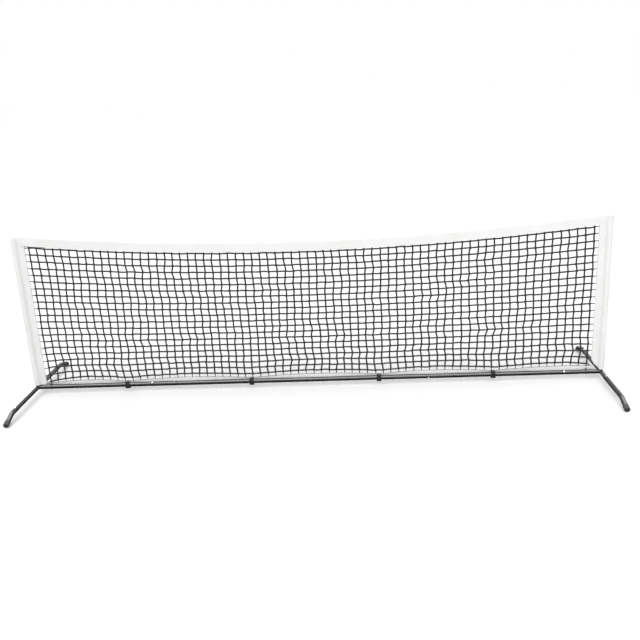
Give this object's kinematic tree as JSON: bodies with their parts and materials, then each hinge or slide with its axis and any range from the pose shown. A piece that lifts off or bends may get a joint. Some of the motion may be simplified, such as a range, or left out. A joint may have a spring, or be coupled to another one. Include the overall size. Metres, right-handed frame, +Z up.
{
  "type": "portable racket-sport net",
  "caption": "Free-standing half-court net: a slip-together steel tube frame on T-shaped feet with a sagging knotted net bound in white.",
  "frame": {"origin": "on the ground, under the middle of the net", "axes": "+X along the net to the right, +Y from front to back, +Z up"},
  "size_m": [3.197, 0.8688, 0.914],
  "materials": {
    "tube": "gloss black powder coat",
    "foot_rubber": "matte moulded",
    "post_cap_plastic": "matte moulded",
    "button_steel": "bright zinc plate",
    "spring_steel": "tempered strip",
    "strap_webbing": "black hook-and-loop webbing",
    "binding": "white coated fabric",
    "netting": "black knotted cord",
    "cord": "dark braided cord"
  },
  "bodies": {
    "frame": {"left_foot_hub": "tube", "right_foot_hub": "tube", "rail_section_1": "tube", "rail_section_2": "tube", "rail_section_3": "tube", "rail_section_4": "tube", "left_post": "tube", "right_post": "tube", "left_post_cap": "post_cap_plastic", "right_post_cap": "post_cap_plastic", "rail_springs": "spring_steel", "leg_springs": "spring_steel", "post_springs": "spring_steel", "strap_1": "strap_webbing", "strap_2": "strap_webbing", "strap_3": "strap_webbing", "strap_4": "strap_webbing", "top_band": "binding", "bottom_band": "binding", "left_sleeve": "binding", "right_sleeve": "binding", "net_panel": "netting", "head_cord": "cord", "left_corner_tie": "cord", "right_corner_tie": "cord"},
    "left_front_tip": {"left_front_tip": "tube", "left_front_foot_cap": "foot_rubber"},
    "left_back_leg": {"left_back_leg": "tube", "left_back_foot_cap": "foot_rubber"},
    "right_front_leg": {"right_front_leg": "tube", "right_front_foot_cap": "foot_rubber"},
    "right_back_tip": {"right_back_tip": "tube", "right_back_foot_cap": "foot_rubber"},
    "rail_button_1": {"rail_button_1": "button_steel"},
    "rail_button_2": {"rail_button_2": "button_steel"},
    "rail_button_3": {"rail_button_3": "button_steel"},
    "left_stub_button": {"left_stub_button": "button_steel"},
    "right_stub_button": {"right_stub_button": "button_steel"},
    "left_post_button": {"left_post_button": "button_steel"},
    "right_post_button": {"right_post_button": "button_steel"},
    "left_front_tip_button": {"left_front_tip_button": "button_steel"},
    "left_back_leg_button": {"left_back_leg_button": "button_steel"},
    "right_back_tip_button": {"right_back_tip_button": "button_steel"},
    "right_front_leg_button": {"right_front_leg_button": "button_steel"}
  },
  "joints": [
    {"name": "left_front_tip_slide", "type": "slide", "parent": "frame", "child": "left_front_tip", "axis": [0, -1, 0], "range_m": [0, 0.15]},
    {"name": "left_back_leg_slide", "type": "slide", "parent": "frame", "child": "left_back_leg", "axis": [0, 1, 0], "range_m": [0, 0.15]},
    {"name": "right_front_leg_slide", "type": "slide", "parent": "frame", "child": "right_front_leg", "axis": [0, -1, 0], "range_m": [0, 0.15]},
    {"name": "right_back_tip_slide", "type": "slide", "parent": "frame", "child": "right_back_tip", "axis": [0, 1, 0], "range_m": [0, 0.15]},
    {"name": "rail_button_1_press", "type": "slide", "parent": "frame", "child": "rail_button_1", "axis": [0, 0.5, -0.866], "range_m": [0, 0.0045], "stiffness_N_per_m": 150, "deforming": ["rail_springs"]},
    {"name": "rail_button_2_press", "type": "slide", "parent": "frame", "child": "rail_button_2", "axis": [0, -1, 0], "range_m": [0, 0.0045], "stiffness_N_per_m": 150, "deforming": ["rail_springs"]},
    {"name": "rail_button_3_press", "type": "slide", "parent": "frame", "child": "rail_button_3", "axis": [0, 0.9063, 0.4226], "range_m": [0, 0.0045], "stiffness_N_per_m": 150, "deforming": ["rail_springs"]},
    {"name": "left_stub_button_press", "type": "slide", "parent": "frame", "child": "left_stub_button", "axis": [0, -0.8192, -0.5736], "range_m": [0, 0.0045], "stiffness_N_per_m": 150, "deforming": ["rail_springs"]},
    {"name": "right_stub_button_press", "type": "slide", "parent": "frame", "child": "right_stub_button", "axis": [0, 0.8192, -0.5736], "range_m": [0, 0.0045], "stiffness_N_per_m": 150, "deforming": ["rail_springs"]},
    {"name": "left_post_button_press", "type": "slide", "parent": "frame", "child": "left_post_button", "axis": [1, 0, 0], "range_m": [0, 0.0045], "stiffness_N_per_m": 150, "deforming": ["post_springs"]},
    {"name": "right_post_button_press", "type": "slide", "parent": "frame", "child": "right_post_button", "axis": [-1, 0, 0], "range_m": [0, 0.0045], "stiffness_N_per_m": 150, "deforming": ["post_springs"]},
    {"name": "left_front_tip_button_press", "type": "slide", "parent": "frame", "child": "left_front_tip_button", "axis": [0, 0, -1], "range_m": [0, 0.0045], "stiffness_N_per_m": 150, "deforming": ["leg_springs"]},
    {"name": "left_back_leg_button_press", "type": "slide", "parent": "frame", "child": "left_back_leg_button", "axis": [0, 0, -1], "range_m": [0, 0.0045], "stiffness_N_per_m": 150, "deforming": ["leg_springs"]},
    {"name": "right_back_tip_button_press", "type": "slide", "parent": "frame", "child": "right_back_tip_button", "axis": [0, 0, -1], "range_m": [0, 0.0045], "stiffness_N_per_m": 150, "deforming": ["leg_springs"]},
    {"name": "right_front_leg_button_press", "type": "slide", "parent": "frame", "child": "right_front_leg_button", "axis": [0, 0, -1], "range_m": [0, 0.0045], "stiffness_N_per_m": 150, "deforming": ["leg_springs"]}
  ]
}
